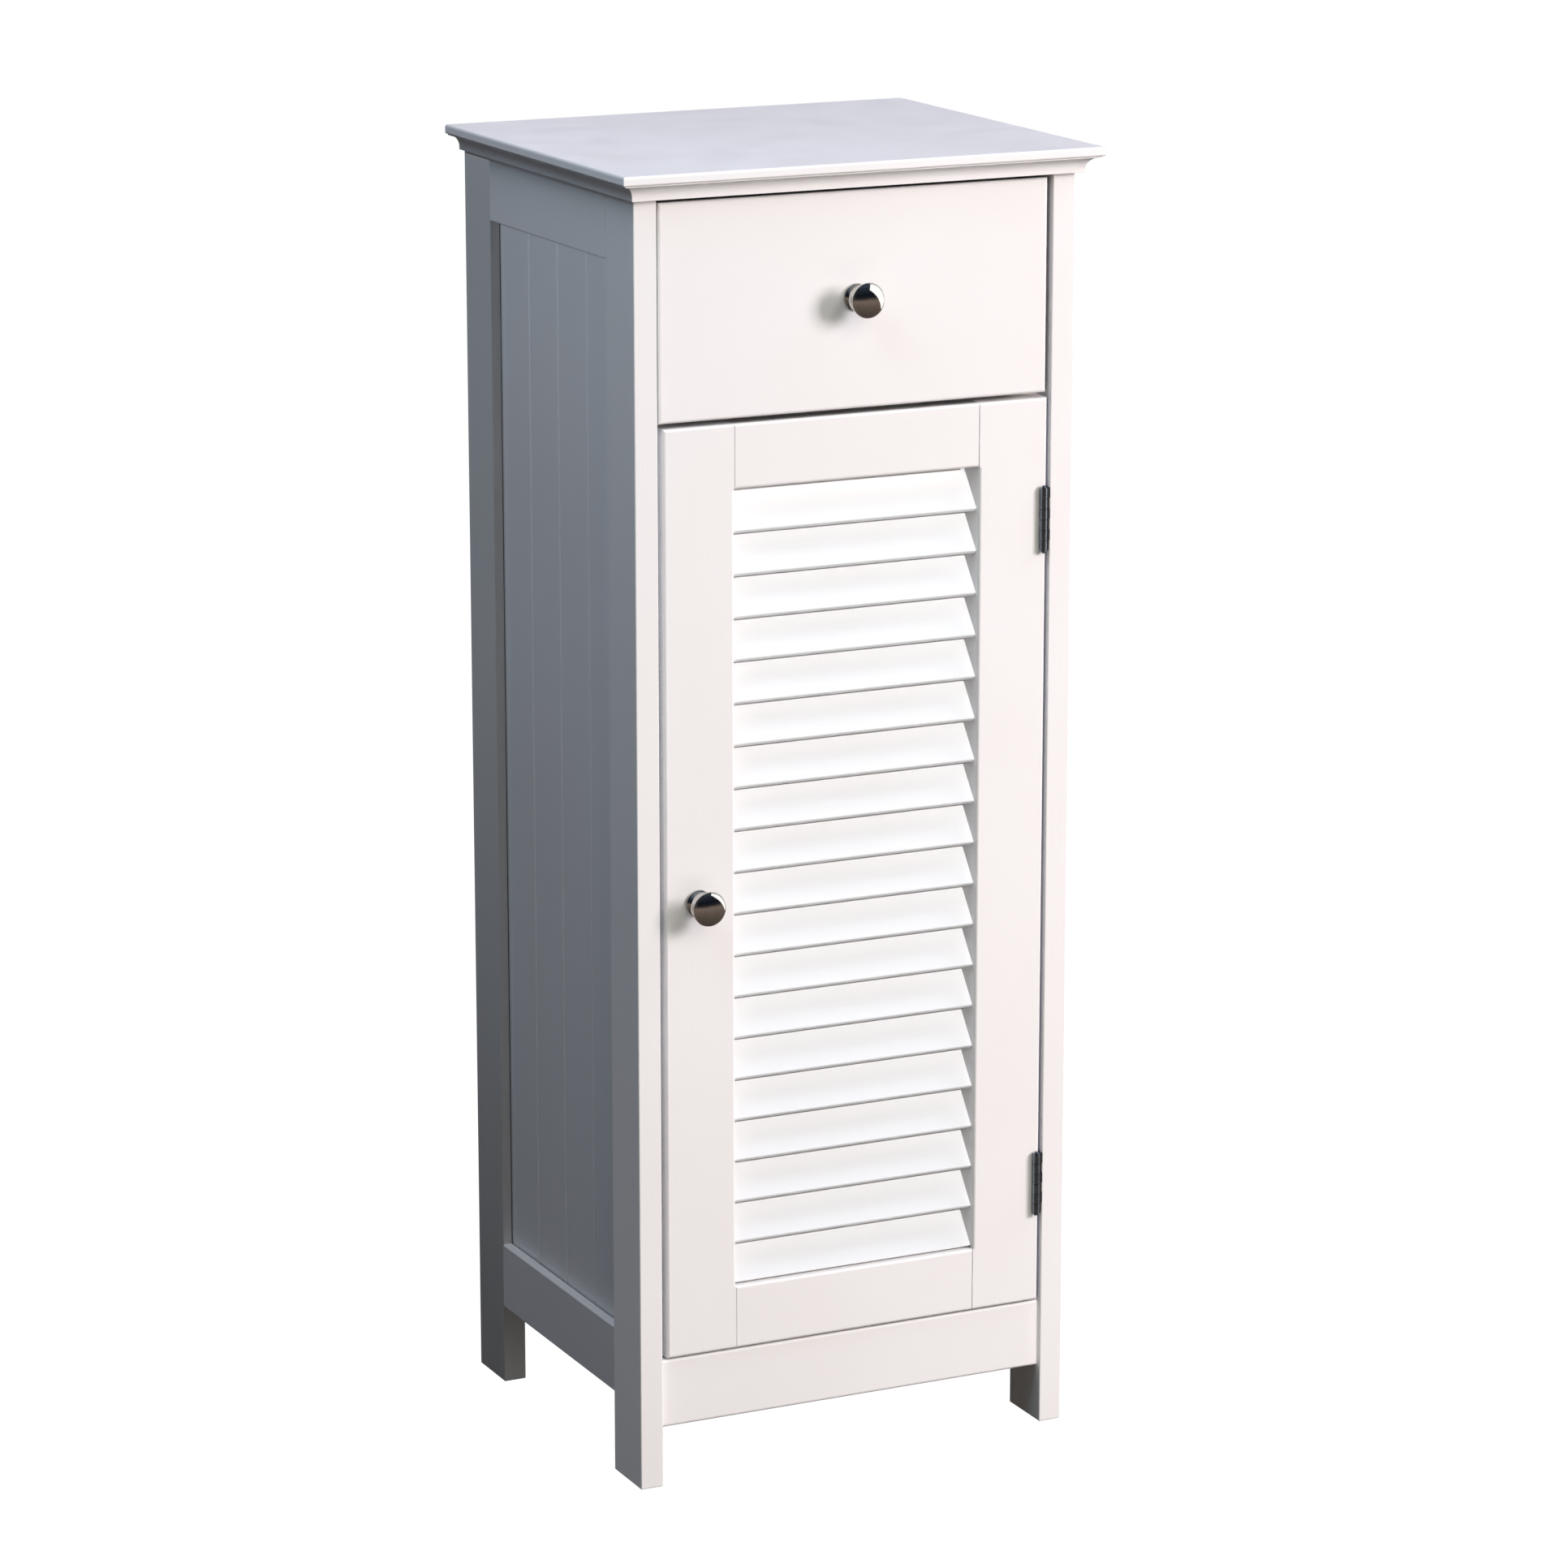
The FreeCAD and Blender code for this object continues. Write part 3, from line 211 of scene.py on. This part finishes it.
def painted_gap_shade(tree, colour, gap):
    """Paints shade into the colour deep inside narrow gaps, where the ambient occlusion finds
    little open space.
    """
    inputs = {"Distance": gap.reach}
    openness = node(tree, "ShaderNodeAmbientOcclusion", inputs, samples=GAP_SAMPLES).outputs["AO"]
    painted = ranged(tree, openness, 0.0, 1.0, source=(gap.dark_share, gap.paint_share))
    if gap.sideways:
        across = maths(tree, "ABSOLUTE", facing(tree, "X"))
        forward = ranged(tree, across, 1.0, 0.0, source=SIDE_FACES)
        painted = maths(tree, "MAXIMUM", painted, forward)
    return mixed(tree, painted, linear(*gap.deep), colour)


def white_paint(name, grain, gap=DEEP_GAP_SHADE):
    """Satin paint on wood: sprayed film with a fine texture and a trace of the grain under it, with
    painted shade deep inside narrow gaps.
    """
    made, tree, shader, place = material("white_paint_" + name)
    patches = noise(tree, place, PAINT_PATCHES, detail=3.0)
    colour = mottled(tree, patches, PAINT_DARK, PAINT_LIGHT)
    sheen = ranged(tree, noise(tree, place, PAINT_SHEEN, detail=4.0), *PAINT_ROUGHNESS)
    grain_lines = noise(tree, place, PAINT_GRAIN, ALONG[grain], detail=3.0, roughness=0.6)
    film = noise(tree, place, PAINT_FILM)
    surface = bump(tree, film, FILM_HEIGHT, under=bump(tree, grain_lines, GRAIN_HEIGHT))
    # Painted shade darkens the colour deep inside narrow gaps.
    painted = painted_gap_shade(tree, colour, gap)
    feed(tree, shader, Base_Color=painted, Roughness=sheen, Normal=surface)
    return made


# ---- other materials -------------------------------------------------------------------------
WOOD_TONES = [(0.0, (196, 160, 112)), (0.45, (222, 190, 146)), (1.0, (235, 209, 170))]
WOOD_ROUGHNESS = (0.55, 0.72)
WOOD_RINGS, WOOD_FIBRES = 70.0, 900.0  # noise scales
WOOD_RANGE = (0.65, 1.15)  # rings and fibres together lie between these
WOOD_HEIGHT = 0.00012

BOARD_BROWN = ((112, 80, 52), (150, 113, 78))
BOARD_WHITE = ((232, 230, 226), (238, 236, 233))
BOARD_ROUGHNESS = (0.45, 0.65)
BOARD_FIBRES, BOARD_PATCHES = 700.0, 8.0  # noise scales
BOARD_HEIGHT = 0.00005

METAL_SMUDGES, METAL_TEXTURE = 220.0, 2600.0  # noise scales
METALS = {
    "polished_nickel": {
        "dark": (205, 201, 196),
        "light": (214, 211, 206),
        "roughness": (0.045, 0.09),
        "height": 0.000001,
    },
    "dark_nickel": {
        "dark": (112, 121, 132),
        "light": (134, 144, 155),
        "roughness": (0.26, 0.38),
        "height": 0.00001,
    },
    "zinc_steel": {
        "dark": (186, 189, 194),
        "light": (206, 208, 210),
        "roughness": (0.28, 0.42),
        "height": 0.00001,
    },
}
BRIGHT_METALS = ("polished_nickel", "dark_nickel")

PLASTIC_TONES = ((228, 228, 225), (236, 236, 233))
PLASTIC_ROUGHNESS = (0.32, 0.42)
PLASTIC_PATCHES, PLASTIC_TEXTURE = 60.0, 2200.0  # noise scales
PLASTIC_HEIGHT = 0.00002


def bare_wood(name, grain):
    """Light sawn pine with growth rings along the grain."""
    made, tree, shader, place = material("bare_wood_" + name)
    rings = noise(tree, place, WOOD_RINGS, ALONG[grain], detail=4.0, roughness=0.55)
    fibres = noise(tree, place, WOOD_FIBRES, ALONG[grain], detail=3.0)
    figure = maths(tree, "MULTIPLY_ADD", rings, fibres, fibres)
    colour = ramp(tree, ranged(tree, figure, 0.0, 1.0, source=WOOD_RANGE), WOOD_TONES)
    rough = ranged(tree, fibres, *WOOD_ROUGHNESS)
    surface = bump(tree, fibres, WOOD_HEIGHT)
    feed(tree, shader, Base_Color=colour, Roughness=rough, Normal=surface)
    return made


def hardboard(name, axis, sign):
    """Hardboard, white on the side that looks along the signed axis and brown elsewhere."""
    made, tree, shader, place = material("hardboard_" + name)
    operation = "GREATER_THAN" if sign > 0 else "LESS_THAN"
    white_side = maths(tree, operation, facing(tree, axis), sign * HALF_TURNED)
    fibres = noise(tree, place, BOARD_FIBRES, detail=5.0, roughness=0.7)
    brown = mottled(tree, fibres, *BOARD_BROWN)
    white = mottled(tree, noise(tree, place, BOARD_PATCHES), *BOARD_WHITE)
    colour = mixed(tree, white_side, brown, white)
    rough = ranged(tree, fibres, *BOARD_ROUGHNESS)
    surface = bump(tree, fibres, BOARD_HEIGHT)
    feed(tree, shader, Base_Color=colour, Roughness=rough, Normal=surface)
    return made


def metal(name, dark, light, roughness, height):
    """Plated or plain metal with faint smudges and a fine surface texture."""
    made, tree, shader, place = material(name)
    smudges = noise(tree, place, METAL_SMUDGES, detail=4.0, roughness=0.6)
    colour = mottled(tree, smudges, dark, light)
    surface = bump(tree, noise(tree, place, METAL_TEXTURE), height)
    rough = ranged(tree, smudges, *roughness)
    feed(tree, shader, Base_Color=colour, Metallic=1.0, Roughness=rough, Normal=surface)
    return made


def plastic(name):
    made, tree, shader, place = material(name)
    patches = noise(tree, place, PLASTIC_PATCHES, detail=3.0)
    colour = mottled(tree, patches, *PLASTIC_TONES)
    surface = bump(tree, noise(tree, place, PLASTIC_TEXTURE), PLASTIC_HEIGHT)
    rough = ranged(tree, patches, *PLASTIC_ROUGHNESS)
    feed(tree, shader, Base_Color=colour, Roughness=rough, Normal=surface)
    return made


def grain_of(name):
    """The axis that a board's grain follows: its own length."""
    if name.startswith(("leg_", "door_stile", "side_panel")):
        return "z"
    if name.startswith(("side_", "drawer_runner", "drawer_side")):
        return "y"
    return "x"


paints = {axis: white_paint(axis, axis) for axis in ALONG}
woods = {axis: bare_wood(axis, axis) for axis in ALONG}
# Pieces whose gaps get a lighter painted shade have copies of the white paint of their own.
own_finishes = {
    name: white_paint(label, grain_of(name), gap) for name, (label, gap) in LIGHTER_GAP_SHADES.items()
}
own_finishes["back_panel"] = hardboard("back", "Y", -1)
own_finishes["drawer_bottom"] = hardboard("drawer", "Z", 1)
slot_finishes = {name: metal(name, **look) for name, look in METALS.items()}
slot_finishes["white_plastic"] = plastic("white_plastic")
for name, obj in nodes.items():
    if name in own_finishes:
        finish = own_finishes[name]
    elif slots[name] == "white_paint":
        finish = paints[grain_of(name)]
    elif slots[name] == "bare_wood":
        finish = woods[grain_of(name)]
    else:
        finish = slot_finishes[slots[name]]
    for index in range(len(obj.material_slots)):
        obj.material_slots[index].material = finish

# ---- stage -----------------------------------------------------------------------------------
FLOOR_REACH = 30.0  # from the middle to each edge
FLOOR_TONES = ((66, 66, 66), (70, 70, 70))
FLOOR_PATCHES = 1.5  # noise scale
FLOOR_ROUGHNESS, FLOOR_SHINE = 0.9, 0.1

# The floor glows, so it shows as plain white, and it throws no light on the cabinet.
corners = [(x * FLOOR_REACH, y * FLOOR_REACH, 0) for x, y in ((-1, -1), (1, -1), (1, 1), (-1, 1))]
floor_mesh = bpy.data.meshes.new("floor")
floor_mesh.from_pydata(corners, [], [(0, 1, 2, 3)])
floor = bpy.data.objects.new("floor", floor_mesh)
scene.collection.objects.link(floor)
floor_finish, tree, shader, place = material("floor")
tone = mottled(tree, noise(tree, place, FLOOR_PATCHES), *FLOOR_TONES)
feed(tree, shader, Base_Color=tone, Roughness=FLOOR_ROUGHNESS, Specular_IOR_Level=FLOOR_SHINE)
feed(tree, shader, Emission_Color=WHITE, Emission_Strength=1.0)
floor_mesh.materials.append(floor_finish)
floor.visible_diffuse = False
floor.visible_glossy = False

# ---- lights ----------------------------------------------------------------------------------
# Places on the cabinet that the lamps are aimed at.
MIDDLE = (0.0, 0.0, 0.45)
RAISED_MIDDLE = (0.0, 0.0, 0.5)
UPPER_MIDDLE = (0.0, 0.0, 0.6)
FRONT_MIDDLE = (0.0, -0.1, 0.45)
UPPER_FRONT = (0.0, -0.14, 0.75)
LOW_FRONT = (0.0, -0.13, 0.2)
LEFT_SIDE = (-0.16, -0.1, 0.6)
FOOT_HEIGHT = 0.05
FOOT_LAMP_DISTANCE = 0.4
BEAM_ANGLE = 31.0  # of the whole beam
BEAM_LAMP_RADIUS = 0.3
PANEL_LEAN = 42.0


def named(*starts):
    return [obj for name, obj in nodes.items() if name.startswith(starts)]


def link_light(lamp, lit, shading):
    """Lets a lamp light, or be shaded by, only some pieces.

    Each choice is None for every piece, or a pair of pieces and INCLUDE or EXCLUDE.
    """
    for role, choice in (("receiver_collection", lit), ("blocker_collection", shading)):
        if choice is None:
            continue
        members, state = choice
        group = bpy.data.collections.new(lamp.name + "_" + role)
        for member in members:
            group.objects.link(member)
        setattr(lamp.light_linking, role, group)
        for entry in group.collection_objects:
            entry.light_linking.link_state = state


def unseen_lamp(name, data, place, target, power, colour, lit=None, shading=None):
    """A lamp that shows neither to the camera nor in the metal."""
    data.energy = power
    data.color = colour
    lamp = aimed(name, data, place, target)
    lamp.visible_camera = False
    lamp.visible_glossy = False
    link_light(lamp, lit, shading)
    return lamp


def soft_light(name, place, target, size, power, colour, lit=None, shading=None):
    """A rectangular lamp of a width and a height."""
    data = bpy.data.lights.new(name, "AREA")
    data.shape = "RECTANGLE"
    data.size, data.size_y = size
    return unseen_lamp(name, data, place, target, power, colour, lit, shading)


slats = named("louvre_slat")
left_frame = named("side_top_rail_left", "side_bottom_rail_left", "leg_front_left", "leg_back_left")
near_leg = named("leg_front_left")
far_leg = named("leg_back_left")
right_leg = named("leg_front_right")
bright_metal = [obj for name, obj in nodes.items() if slots[name] in BRIGHT_METALS]

# The front, from the right and from above.
soft_light(
    "key", place=(2.0, -2.2, 1.5), target=FRONT_MIDDLE, size=(1.0, 1.1),
    power=88.1, colour=(1.0, 0.94, 0.993),
    lit=(slats, "EXCLUDE"), shading=(right_leg, "EXCLUDE"),
)
soft_light(
    "high", place=(0.4, -2.6, 2.3), target=RAISED_MIDDLE, size=(1.6, 1.6),
    power=25.0, colour=(1.0, 0.957, 0.848), lit=(slats, "EXCLUDE"),
)
# The slats have a lamp of their own, a little above, so that only their lower lips are in shade.
soft_light(
    "louvre", place=(0.6, -3.29, 1.5), target=MIDDLE, size=(0.25, 0.08),
    power=122.0, colour=(0.975, 0.975, 1.0),
    lit=(slats, "INCLUDE"), shading=(slats + named("door_rail_top"), "INCLUDE"),
)
# Stands for the light that the floor in front throws back.
soft_light(
    "low_bounce", place=(0.1, -0.9, 0.05), target=LOW_FRONT, size=(1.0, 0.4),
    power=1.8, colour=(1.0, 0.969, 0.927), lit=(slats, "EXCLUDE"),
)
# The top, and the left side, which gets darker towards the back and the floor.
soft_light(
    "over_right", place=(1.6, -0.2, 2.4), target=UPPER_MIDDLE, size=(1.4, 1.4),
    power=29.7, colour=(0.778, 0.805, 1.0),
)
soft_light(
    "over_left", place=(-0.6, 0.0, 2.0), target=UPPER_MIDDLE, size=(0.8, 0.8),
    power=5.45, colour=(0.891, 0.871, 1.0),
    lit=(far_leg, "EXCLUDE"), shading=(left_frame, "EXCLUDE"),
)
soft_light(
    "near_left", place=(-0.75, -0.55, 1.55), target=LEFT_SIDE, size=(0.5, 0.5),
    power=3.4, colour=(0.609, 0.837, 1.0),
    lit=(far_leg, "EXCLUDE"), shading=(left_frame, "EXCLUDE"),
)
soft_light(
    "grazing", place=(-0.75, -3.6, 1.3), target=MIDDLE, size=(0.6, 0.6),
    power=9.0, colour=(1.0, 0.9, 0.72), lit=(slats + far_leg, "EXCLUDE"),
)
soft_light(
    "far_left", place=(-2.6, 0.4, 1.8), target=UPPER_MIDDLE, size=(1.5, 1.5),
    power=6.9, colour=(0.637, 0.768, 1.0), lit=(far_leg, "EXCLUDE"),
)
# The back left leg has a soft beam of its own, aimed at its top, that fades towards the floor.
leg_low, leg_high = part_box("leg_back_left")
beam = bpy.data.lights.new("leg_beam", "SPOT")
beam.spot_size = math.radians(BEAM_ANGLE)
beam.spot_blend = 1.0
beam.shadow_soft_size = BEAM_LAMP_RADIUS
unseen_lamp(
    "leg_beam", beam, place=(-2.6, 0.4, 2.4), target=(leg_low.x, leg_low.y, leg_high.z),
    power=100.0, colour=(0.714, 0.85, 1.0), lit=(far_leg, "INCLUDE"),
)
# Stands for the light that the floor throws back on the foot of the front left leg.
foot_low, foot_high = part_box("leg_front_left")
foot = Vector((foot_low.x, (foot_low.y + foot_high.y) / 2, FOOT_HEIGHT))
soft_light(
    "low_left", place=foot - Vector((FOOT_LAMP_DISTANCE, 0.0, 0.0)), target=foot, size=(0.1, 0.1),
    power=0.08, colour=(1.0, 0.95, 0.97), lit=(near_leg, "INCLUDE"), shading=(near_leg, "INCLUDE"),
)
# The back.
soft_light(
    "rear", place=(0.9, 3.0, 1.0), target=MIDDLE, size=(1.6, 1.6),
    power=30.0, colour=(0.9, 0.94, 1.0),
)
# The large leaning panel that the metal mirrors. It doesn't light the paint.
panel = soft_light(
    "panel", place=(2.2, -1.25, 1.1), target=UPPER_FRONT, size=(1.3, 3.6),
    power=24.0, colour=(1.0, 1.0, 1.0), lit=(bright_metal, "INCLUDE"),
)
panel.rotation_quaternion @= Quaternion((0.0, 0.0, 1.0), math.radians(PANEL_LEAN))
panel.visible_glossy = True
panel.visible_diffuse = False

# ---- surroundings ----------------------------------------------------------------------------
# The room that the metal mirrors, from the floor (0) over the horizon (0.5) to the ceiling (1).
ROOM_TONES = [
    (0.0, (66, 60, 57)),
    (0.3, (112, 100, 94)),
    (0.42, (134, 120, 112)),
    (0.5, (44, 44, 48)),
    (0.58, (22, 26, 36)),
    (0.74, (46, 52, 64)),
    (0.88, (92, 102, 116)),
    (1.0, (140, 150, 160)),
]
FAINT_LIGHT = (0.01, 0.011, 0.013, 1.0)  # what the room adds to the shade on every piece


def backdrop(tree, colour):
    return node(tree, "ShaderNodeBackground", {"Color": colour, "Strength": 1.0}).outputs[0]


def chosen(tree, share, first, second):
    return node(tree, "ShaderNodeMixShader", {0: share, 1: first, 2: second}).outputs[0]


world = bpy.data.worlds.new("studio")
scene.world = world
world.use_nodes = True
tree = world.node_tree
tree.nodes.clear()
ray = node(tree, "ShaderNodeLightPath").outputs
way = node(tree, "ShaderNodeTexCoord").outputs["Generated"]
height = node(tree, "ShaderNodeSeparateXYZ", {"Vector": way}).outputs["Z"]
room = ramp(tree, ranged(tree, height, 0.0, 1.0, source=(-1.0, 1.0)), ROOM_TONES)
mirrored = chosen(
    tree, ray["Is Glossy Ray"], backdrop(tree, FAINT_LIGHT), backdrop(tree, room)
)
seen = chosen(tree, ray["Is Camera Ray"], mirrored, backdrop(tree, WHITE))
node(tree, "ShaderNodeOutputWorld", {"Surface": seen})
